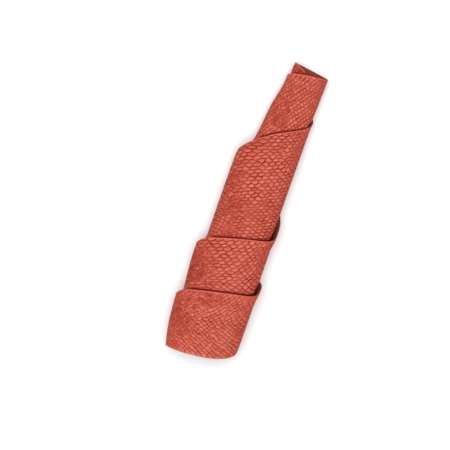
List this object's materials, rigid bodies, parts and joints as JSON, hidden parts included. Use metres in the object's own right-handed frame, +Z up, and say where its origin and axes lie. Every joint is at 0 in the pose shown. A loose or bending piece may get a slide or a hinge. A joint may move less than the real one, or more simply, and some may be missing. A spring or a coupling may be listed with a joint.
{
  "type": "rolled tanned salmon skin",
  "caption": "Tanned and dyed salmon skin, rolled slantwise on itself into a flattened tapered roll that lies on its side, with the scale pattern outside and overlapping bands.",
  "frame": {"origin": "bottom centre of the roll's bounding box, on the surface that it rests on", "axes": "+X along the roll towards its narrow tip, +Z up from the pressed flat underside"},
  "size_m": [0.1927, 0.049, 0.0291],
  "materials": {
    "tanned_skin": "satin dyed fish leather, scale pockets on the outer face and a matt napped inner face"
  },
  "bodies": {
    "root": {"rolled_skin": "tanned_skin"}
  },
  "joints": []
}
